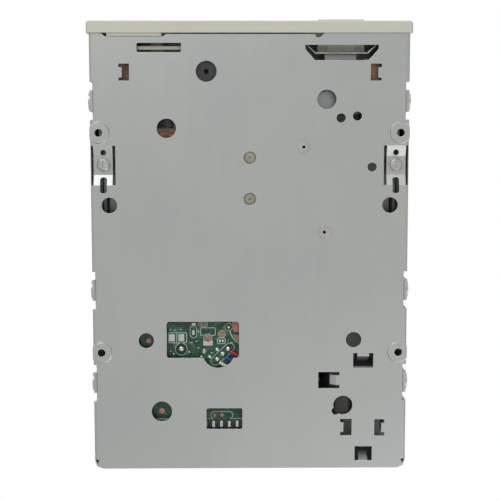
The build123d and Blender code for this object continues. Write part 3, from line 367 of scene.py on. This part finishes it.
finish("door_plastic", srgb(192, 191, 178), srgb(197, 196, 184), (0.42, 0.55),
       edge=srgb(210, 209, 199), edge_radius=0.2, mottle=40.0, pebble=2600.0, bump=0.08)
print(len(finishes), "finishes so far")


# %% [markdown]
# Inside the drive the materials change from piece to piece: turned steel, copper windings, a
# sintered bearing, dark ferrite, ivory and black mouldings. Small pieces need finer grain than the
# case, so the scales are larger numbers here.

# %% Inner metals and plastics
finish("turned_steel", srgb(190, 190, 186), srgb(170, 170, 168), (0.18, 0.32), 1.0,
       edge=srgb(236, 236, 230), edge_radius=0.1, mottle=300.0, grain=4000.0)
finish("bearing_alloy", srgb(162, 158, 146), srgb(140, 136, 126), (0.34, 0.48), 0.9,
       edge=srgb(204, 200, 188), edge_radius=0.1, mottle=250.0, pebble=6000.0)
finish("motor_can", srgb(172, 174, 172), srgb(156, 158, 158), (0.25, 0.4), 0.95,
       edge=srgb(226, 226, 222), mottle=120.0, grain=1800.0)
finish("motor_dark", srgb(52, 52, 52), srgb(66, 66, 64), (0.3, 0.42), 0.7,
       edge=srgb(120, 120, 116), mottle=120.0, grain=1800.0)
finish("spring_wire", srgb(150, 152, 150), srgb(124, 126, 124), (0.22, 0.34), 1.0,
       edge=srgb(216, 216, 210), edge_radius=0.06, mottle=500.0, grain=5000.0)
finish("magnet_dark", srgb(46, 44, 44), srgb(62, 60, 58), (0.45, 0.6), 0.2,
       edge=srgb(96, 94, 92), edge_radius=0.1, mottle=200.0, pebble=5000.0)
finish("copper_wire", srgb(176, 96, 52), srgb(140, 72, 38), (0.22, 0.4), 0.9,
       edge=srgb(214, 140, 92), edge_radius=0.1, mottle=500.0, grain=9000.0, bump=0.3)
finish("contact_metal", srgb(214, 212, 204), srgb(196, 192, 180), (0.16, 0.3), 1.0,
       edge=srgb(244, 242, 236), edge_radius=0.08, mottle=600.0)
finish("capacitor_can", srgb(150, 150, 152), srgb(120, 120, 124), (0.22, 0.34), 0.9,
       edge=srgb(210, 210, 210), edge_radius=0.1, mottle=400.0)
finish("black_plastic", srgb(34, 34, 35), srgb(44, 44, 45), (0.38, 0.52),
       edge=srgb(72, 72, 72), edge_radius=0.12, mottle=90.0, pebble=4200.0, bump=0.08)
finish("chip_black", srgb(30, 30, 32), srgb(40, 40, 42), (0.5, 0.62),
       edge=srgb(66, 66, 66), edge_radius=0.08, mottle=200.0, pebble=6000.0, bump=0.08)
finish("ivory_plastic", srgb(226, 220, 200), srgb(214, 206, 184), (0.35, 0.48),
       edge=srgb(240, 236, 222), edge_radius=0.12, mottle=90.0, pebble=4200.0, bump=0.05)
finish("carriage_plastic", srgb(58, 60, 64), srgb(70, 72, 76), (0.4, 0.52),
       edge=srgb(100, 102, 104), edge_radius=0.12, mottle=90.0, pebble=4200.0, bump=0.06)
finish("flex_film", srgb(176, 112, 48), srgb(196, 134, 64), (0.25, 0.35),
       edge=srgb(214, 160, 92), edge_radius=0.05, mottle=300.0, Coat_Weight=0.3)
finish("led_green", srgb(120, 170, 110), srgb(96, 150, 92), (0.2, 0.3),
       edge=srgb(170, 210, 160), edge_radius=0.1, mottle=500.0, Coat_Weight=0.6)
finish("light_pipe_clear", srgb(214, 220, 214), srgb(200, 208, 202), (0.12, 0.22),
       edge=srgb(240, 244, 240), edge_radius=0.1, mottle=300.0, Coat_Weight=0.5)
finish("head_ceramic", srgb(206, 200, 188), srgb(188, 180, 166), (0.25, 0.35),
       edge=srgb(228, 224, 214), edge_radius=0.08, mottle=400.0)
print(len(finishes), "finishes so far")


# %% [markdown]
# Circuit boards. Under the green lacquer lie copper tracks, which show as slightly paler lines.
# Square cells, shifted by a noise field cut into steps, look like routed tracks without drawing
# hundreds of them. The motor board is brown laminate with the same kind of tracks.

# %% Circuit boards
def track_group():
    """Tracks: shifted square cells; the mask picks the copper ones, the gap is each one's rim."""
    noise_step, shift_scale, rim_from, copper_from = 0.08, 0.012, 0.42, 0.45
    group, ins, outs = new_group("board tracks", {"Scale": 420.0},
                                 {"Mask": "Float", "Gap": "Float"})
    place = node(group, "TexCoord").outputs["Object"]
    bend = node(group, "TexNoise", {"Vector": place}, Scale=140.0, Detail=0.0)
    steps = node(group, "VectorMath", {0: bend.outputs["Color"]}, operation="SNAP")
    steps.inputs[1].default_value = (noise_step,) * 3
    shift = node(group, "VectorMath", {0: steps.outputs[0]}, operation="SCALE")
    shift.inputs["Scale"].default_value = shift_scale
    moved = node(group, "VectorMath", {0: place, 1: shift.outputs[0]}, operation="ADD")
    cells = node(group, "TexVoronoi", {"Vector": moved.outputs[0], "Scale": ins["Scale"]},
                 distance="CHEBYCHEV", Randomness=0.75)
    rim = math_node(group, "GREATER_THAN", cells.outputs["Distance"], rim_from)
    pick = node(group, "SeparateColor", {0: cells.outputs["Color"]})
    copper = math_node(group, "GREATER_THAN", pick.outputs[0], copper_from)
    group.links.new(copper, outs["Mask"])
    group.links.new(rim, outs["Gap"])
    return group


effects["tracks"] = track_group()


def board_finish(name, lacquer, over_copper, gap, scale):
    """Lacquered laminate: one tint over bare laminate, a second over copper, a third in gaps."""
    material = bpy.data.materials.new(name)
    material.use_nodes = True
    tree = material.node_tree
    tree.nodes.clear()
    tracks = place_group(tree, "tracks", Scale=scale)
    weave = place_group(tree, "mottle", Scale=900.0)["Value"]
    tint = mixed(tree, tracks["Mask"], lacquer, over_copper)
    tint = mixed(tree, tracks["Gap"], tint, gap)
    weave_share = 0.2
    tint = mixed(tree, math_node(tree, "MULTIPLY", weave, weave_share), tint, gap)
    shader = node(tree, "BsdfPrincipled", {"Base Color": tint},
                  Coat_Weight=0.12, Coat_Roughness=0.25)
    span = node(tree, "MapRange", {"Value": weave}, To_Min=0.3, To_Max=0.42)
    tree.links.new(span.outputs[0], shader.inputs["Roughness"])
    relief = node(tree, "Bump", {"Height": tracks["Mask"]}, Strength=0.25, Distance=0.03 * mm)
    tree.links.new(relief.outputs[0], shader.inputs["Normal"])
    node(tree, "OutputMaterial", {"Surface": shader.outputs[0]})
    finishes[name] = material


board_finish("green_board", srgb(20, 70, 46), srgb(34, 96, 66), srgb(12, 44, 30), 420.0)
board_finish("brown_board", srgb(120, 82, 44), srgb(146, 100, 56), srgb(86, 56, 32), 300.0)


# %% [markdown]
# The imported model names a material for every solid. By now each of those names has a finish, so
# every slot only needs the finish of its own name.

# %% Give every solid its finish
for solid in solids.values():
    for slot in solid.material_slots:
        slot.material = finishes[slot.material.name.split(".")[0]]
print("dressed", len(solids), "solids")


# %% [markdown]
# The windows in the floor show the lower side of the green board. On the real one it is busy: white
# printed outlines round the parts, square and round pads, rings of solder and three wires soldered
# in a row. Each kind of mark could be painted by a material, but a mark that stands a few
# hundredths of a millimetre proud keeps its edge in every view, so each kind is one mesh here. A
# ribbon is a flat bar carried along a path, and a plate is a filled outline with straight sides.

# %% Surfaces for marks on a board
def join(shapes):
    """One list of points and faces from several, each face list moved past the points before it."""
    points, faces, start = [], [], 0
    for shape_points, shape_faces in shapes:
        points.append(shape_points)
        faces += [tuple(int(i) + start for i in face) for face in shape_faces]
        start += len(shape_points)
    return np.concatenate(points), faces


def grid_faces(rows, columns, closed_rows):
    """Quads of a grid that is closed across its columns, and along its rows if asked."""
    spans = rows if closed_rows else rows - 1
    i, j = np.meshgrid(np.arange(spans), np.arange(columns), indexing="ij")
    k, n = (i + 1) % rows, (j + 1) % columns
    quads = np.stack([i * columns + j, i * columns + n, k * columns + n, k * columns + j], axis=-1)
    return [tuple(q) for q in quads.reshape(-1, 4).tolist()]


def ribbon(path, width, low, high, closed=True):
    """A flat bar along a path: half the width to each side of it, from low level to high."""
    path = np.array(path, float)
    if closed:
        ahead = np.roll(path, -1, axis=0) - np.roll(path, 1, axis=0)
    else:
        ahead = np.gradient(path, axis=0)
    ahead /= np.linalg.norm(ahead, axis=1)[:, None]
    side = np.column_stack([-ahead[:, 1], ahead[:, 0]]) * width / 2
    corners = [(side, low), (-side, low), (-side, high), (side, high)]
    rings = [np.column_stack([path + offset, np.full(len(path), level)])
             for offset, level in corners]
    points = np.stack(rings, axis=1).reshape(-1, 3)
    faces = grid_faces(len(path), 4, closed)
    if not closed:
        last = len(points)
        faces += [(3, 2, 1, 0), (last - 4, last - 3, last - 2, last - 1)]
    return points, faces


def plate(outline, low, high):
    """A filled outline with straight sides: its points at the low and again at the high level."""
    outline = np.array(outline, float)
    count = len(outline)
    points = np.concatenate([np.column_stack([outline, np.full(count, z)]) for z in (low, high)])
    sides = [(i, (i + 1) % count, count + (i + 1) % count, count + i) for i in range(count)]
    return points, sides + [tuple(range(count))[::-1], tuple(range(count, 2 * count))]


def circle(x, y, radius, count=28):
    """Points at equal angles: centre plus radius times cosine and sine."""
    t = np.linspace(0, 2 * np.pi, count, endpoint=False)
    return np.column_stack([x + radius * np.cos(t), y + radius * np.sin(t)])


def box_path(x, y, corner=0.25):
    """A rectangle with clipped corners."""
    (a, b), (c, d), e = x, y, corner
    return [(a + e, c), (b - e, c), (b, c + e), (b, d - e),
            (b - e, d), (a + e, d), (a, d - e), (a, c + e)]


def pill(start, end, radius, count=10):
    """Two half circles joined by straight sides, round the line from start to end."""
    start, end = np.array(start, float), np.array(end, float)
    angle = math.atan2(*(end - start)[::-1])
    t = np.linspace(-np.pi / 2, np.pi / 2, count)
    far = end + radius * np.column_stack([np.cos(angle + t), np.sin(angle + t)])
    near = start - radius * np.column_stack([np.cos(angle + t), np.sin(angle + t)])
    return np.concatenate([far, near])


def dome(x, y, radius, rise, level, count=24, rings=8):
    """Solder drop: radius times the polar cosine across, rise times the polar sine downwards."""
    near_pole = 0.97
    polar = np.linspace(0, np.pi / 2 * near_pole, rings)
    around = np.linspace(0, 2 * np.pi, count, endpoint=False)
    v, u = np.meshgrid(polar, around, indexing="ij")
    r = radius * np.cos(v)
    points = np.stack([x + r * np.cos(u), y + r * np.sin(u), level - rise * np.sin(v)], axis=-1)
    points = points.reshape(-1, 3)
    last = len(points)
    caps = [tuple(range(count)), tuple(range(last - count, last))[::-1]]
    return points, grid_faces(rings, count, False) + caps


def add_piece(name, shapes, material, smooth=False):
    """Join shapes, in millimetres behind the bezel's back, into one mesh on the chassis."""
    points, faces = join(shapes)
    points = points * mm + np.array([0, bezel_back, 0])
    mesh = bpy.data.meshes.new(name)
    mesh.from_pydata(points.tolist(), [], faces)
    made = bmesh.new()
    made.from_mesh(mesh)
    bmesh.ops.recalc_face_normals(made, faces=made.faces)
    made.to_mesh(mesh)
    made.free()
    mesh.polygons.foreach_set("use_smooth", [smooth] * len(mesh.polygons))
    mesh.materials.append(material)
    piece = bpy.data.objects.new(name, mesh)
    bpy.context.scene.collection.objects.link(piece)
    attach(piece, "chassis")
    print(name, len(faces), "faces")


board_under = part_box("main_board")[0].z / mm
print("the board's lower face is at", round(board_under, 2), "mm")


# %% [markdown]
# Finishes for the marks: matt printing ink, tinned pads, bare reddish copper, the dark ring where
# the lacquer is held back from a hole, and three colours of wire insulation.

# %% Finishes of the marks
solid_finishes = len(finishes)
finish("printed_ink", srgb(176, 206, 188), srgb(150, 186, 166), (0.5, 0.65), edge_radius=0.02,
       mottle=700.0, bump=0.05)
finish("solder", srgb(206, 206, 200), srgb(176, 176, 170), (0.16, 0.3), 1.0,
       edge=srgb(240, 240, 236), edge_radius=0.05, mottle=900.0)
finish("copper_pad", srgb(150, 92, 80), srgb(176, 132, 120), (0.3, 0.45), 0.7,
       edge=srgb(206, 172, 160), edge_radius=0.03, mottle=900.0)
finish("bare_ring", srgb(10, 30, 22), srgb(18, 40, 30), (0.45, 0.6), edge_radius=0.02,
       mottle=600.0)
finish("red_wire", srgb(186, 44, 62), srgb(170, 36, 52), (0.32, 0.42), edge_radius=0.05,
       mottle=200.0)
finish("blue_wire", srgb(40, 78, 150), srgb(34, 66, 132), (0.32, 0.42), edge_radius=0.05,
       mottle=200.0)
finish("pale_wire", srgb(214, 212, 204), srgb(200, 198, 190), (0.32, 0.42), edge_radius=0.05,
       mottle=200.0)
print(len(finishes) - solid_finishes, "finishes for the marks")


# %% [markdown]
# White outlines first. Their places were read off the photograph in millimetres on the board. The
# lettering that a real board carries is left off; a few short plain dashes stand in its place.

# %% Printed outlines
sunk, ink_height, pad_height = 0.01, 0.03, 0.045
ink = (board_under - ink_height, board_under + sunk)
frames = [((-26.3, -20.4), (95.0, 98.3)), ((-15.95, -11.15), (93.4, 95.9)),
          ((-10.5, -8.0), (96.7, 98.6))]
outlines = [ribbon(box_path(x, y), 0.22, *ink) for x, y in frames]
outlines.append(ribbon([(-23.6, 95.0), (-23.6, 98.3)], 0.2, *ink, closed=False))
outlines.append(ribbon(pill((-18.2, 93.8), (-18.2, 95.6), 1.05), 0.16, *ink))
outlines.append(ribbon(pill((-15.8, 92.3), (-14.4, 92.3), 0.75), 0.18, *ink))
outlines.append(ribbon(pill((-11.2, 104.2), (-6.5, 99.8), 1.45), 0.2, *ink))
outlines.append(ribbon(pill((-11.6, 122.1), (-6.7, 122.1), 1.15), 0.2, *ink))
for x, y, radius in ((-22.15, 100.3, 1.95), (-9.1, 95.4, 1.15), (-6.85, 93.2, 1.2),
                     (-13.6, 96.8, 1.35)):
    outlines.append(ribbon(circle(x, y, radius), 0.18, *ink))
bow = [(-6.6, 94.2), (-6.0, 95.9), (-4.9, 97.5), (-3.6, 98.4)]
outlines.append(ribbon(bow, 0.3, *ink, closed=False))
dash_length, dash_width = 0.8, 0.24
dashes = [(-26.0, 94.0), (-24.6, 94.1), (-22.6, 94.0), (-19.3, 98.2), (-17.6, 97.8), (-17.0, 99.9),
          (-12.6, 101.6), (-8.6, 93.1), (-6.3, 98.2), (-26.0, 101.0)]
outlines += [ribbon([(x, y), (x + dash_length, y)], dash_width, *ink, closed=False)
             for x, y in dashes]
add_piece("board_printed_outlines", outlines, finishes["printed_ink"])


# %% [markdown]
# Pads next, a little prouder than the ink. Tinned ones are silver rectangles, bare ones are reddish
# and mostly round, and a dark ring lies about three of the holes.

# %% Pads and rings
low, high = board_under - pad_height, board_under + sunk
tinned = [plate(box_path(x, y, 0.15), low, high) for x, y in (
    ((-26.05, -24.2), (95.5, 97.8)), ((-23.1, -21.2), (95.5, 97.8)),
    ((-18.75, -17.55), (91.9, 92.6)), ((-18.6, -17.8), (94.2, 95.7)),
    ((-15.05, -12.0), (97.6, 99.2)), ((-10.0, -9.4), (97.2, 98.1)),
    ((-9.1, -8.5), (97.2, 98.1)), ((-15.2, -14.4), (100.2, 101.8)))]
reddish = [plate(circle(x, y, r), low, high) for x, y, r in (
    (-9.1, 95.4, 0.9), (-13.6, 96.8, 1.1), (-15.6, 92.3, 0.5), (-14.5, 92.3, 0.5),
    (-11.5, 122.1, 0.55), (-9.1, 122.1, 0.55), (-28.6, 120.6, 0.9), (-32.6, 97.6, 0.8))]
for outline in ([(-5.7, 91.4), (-3.2, 91.4), (-3.2, 94.6), (-4.9, 94.9), (-5.8, 93.4)],
                [(-5.6, 95.7), (-3.2, 95.9), (-3.2, 97.9), (-4.4, 97.4)]):
    reddish.append(plate(outline, low, high))
rings = [ribbon(circle(x, y, r), w, low, high) for x, y, r, w in (
    (-22.15, 100.3, 1.35, 0.85), (-6.85, 93.2, 0.75, 0.5), (-6.8, 122.1, 0.4, 0.4))]
add_piece("board_tinned_pads", tinned, finishes["solder"])
add_piece("board_copper_pads", reddish, finishes["copper_pad"])
add_piece("board_bare_rings", rings, finishes["bare_ring"])


# %% [markdown]
# Solder stands proud in small drops. Three large ones in a slanted row hold the motor's wires, and
# the pins of the wide connector show as bright bars behind the board's edge.

# %% Solder drops and pin bars
wire_joints = ((-7.0, 100.3), (-8.8, 101.9), (-10.6, 103.7))
drops = [dome(x, y, 0.85, 0.6, board_under) for x, y in wire_joints]
drops += [dome(x, y, r, r * 0.5, board_under) for x, y, r in (
    (-22.15, 100.3, 0.85), (-6.85, 93.2, 0.5), (-10.6, 100.5, 0.6), (-13.0, 103.0, 0.6),
    (-15.7, 103.0, 0.5), (-24.6, 102.0, 0.35), (-19.6, 101.4, 0.35), (-16.6, 94.6, 0.3))]
add_piece("board_solder_drops", drops, finishes["solder"], smooth=True)
pin_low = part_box("signal_pins")[0].z / mm
pin_pitch, first_pin, pin_columns = 2.54, -34.66, 17
half_bar, bar_span, bar_corner, bar_height = 0.42, (123.75, 125.75), 0.1, 0.12
bars = []
for column in range(pin_columns):
    x = first_pin + column * pin_pitch
    outline = box_path((x - half_bar, x + half_bar), bar_span, bar_corner)
    bars.append(plate(outline, pin_low - bar_height, pin_low))
add_piece("header_pin_bars", bars, finishes["solder"])
edge_line = ribbon([(-45.0, 123.3), (20.5, 123.3)], 0.25, *ink, closed=False)
add_piece("board_edge_line", [edge_line], finishes["printed_ink"])


# %% [markdown]
# The three wires leave their solder drops to the right and pass between the board and the floor to
# the stepper. A wire is a round tube: a smooth curve through a few places, with circles about it.

# %% Motor wires
def smooth_path(places, count=60):
    """Curve through the places: each coordinate is a cubic in chord length between neighbours."""
    places = np.array(places, float)
    chord = np.concatenate([[0], np.cumsum(np.linalg.norm(np.diff(places, axis=0), axis=1))])
    slope = np.gradient(places, chord, axis=0)
    s = np.linspace(0, chord[-1], count)
    k = np.clip(np.searchsorted(chord, s, side="right") - 1, 0, len(chord) - 2)
    width = (chord[k + 1] - chord[k])[:, None]
    t = ((s - chord[k]) / width[:, 0])[:, None]
    ends = (2 * t**3 - 3 * t**2 + 1) * places[k] + (3 * t**2 - 2 * t**3) * places[k + 1]
    return ends + ((t**3 - 2 * t**2 + t) * slope[k] + (t**3 - t**2) * slope[k + 1]) * width


def tube(path, radius, count=12):
    """Circles in the plane square to the path, from its direction and the upright."""
    ahead = np.gradient(path, axis=0)
    ahead /= np.linalg.norm(ahead, axis=1)[:, None]
    side = np.cross(ahead, np.array([0.0, 0.0, 1.0]))
    side /= np.linalg.norm(side, axis=1)[:, None]
    upper = np.cross(side, ahead)
    t = np.linspace(0, 2 * np.pi, count, endpoint=False)[None, :, None]
    points = path[:, None] + radius * (np.cos(t) * side[:, None] + np.sin(t) * upper[:, None])
    last = len(path) * count
    caps = [tuple(range(count)), tuple(range(last - count, last))[::-1]]
    return points.reshape(-1, 3), grid_faces(len(path), count, False) + caps


wire_radius = 0.55
wires = (("red_wire", -6.4, 100.9, 0.0), ("blue_wire", -8.1, 102.6, 1.3),
         ("pale_wire", -9.9, 104.5, 2.6))
for name, x, y, late in wires:
    route = [(x, y, 2.35), (x + 2.2, y + 1.3, 2.25), (6.0, 103.6 + late, 2.25),
             (14.0, 105.2 + late, 2.25), (19.6, 107.9 + late, 2.3), (21.9, 108.3 + late, 4.6),
             (22.6, 108.4 + late, 7.4)]
    wire = tube(smooth_path(route), wire_radius)
    add_piece("motor_" + name, [wire], finishes[name], smooth=True)
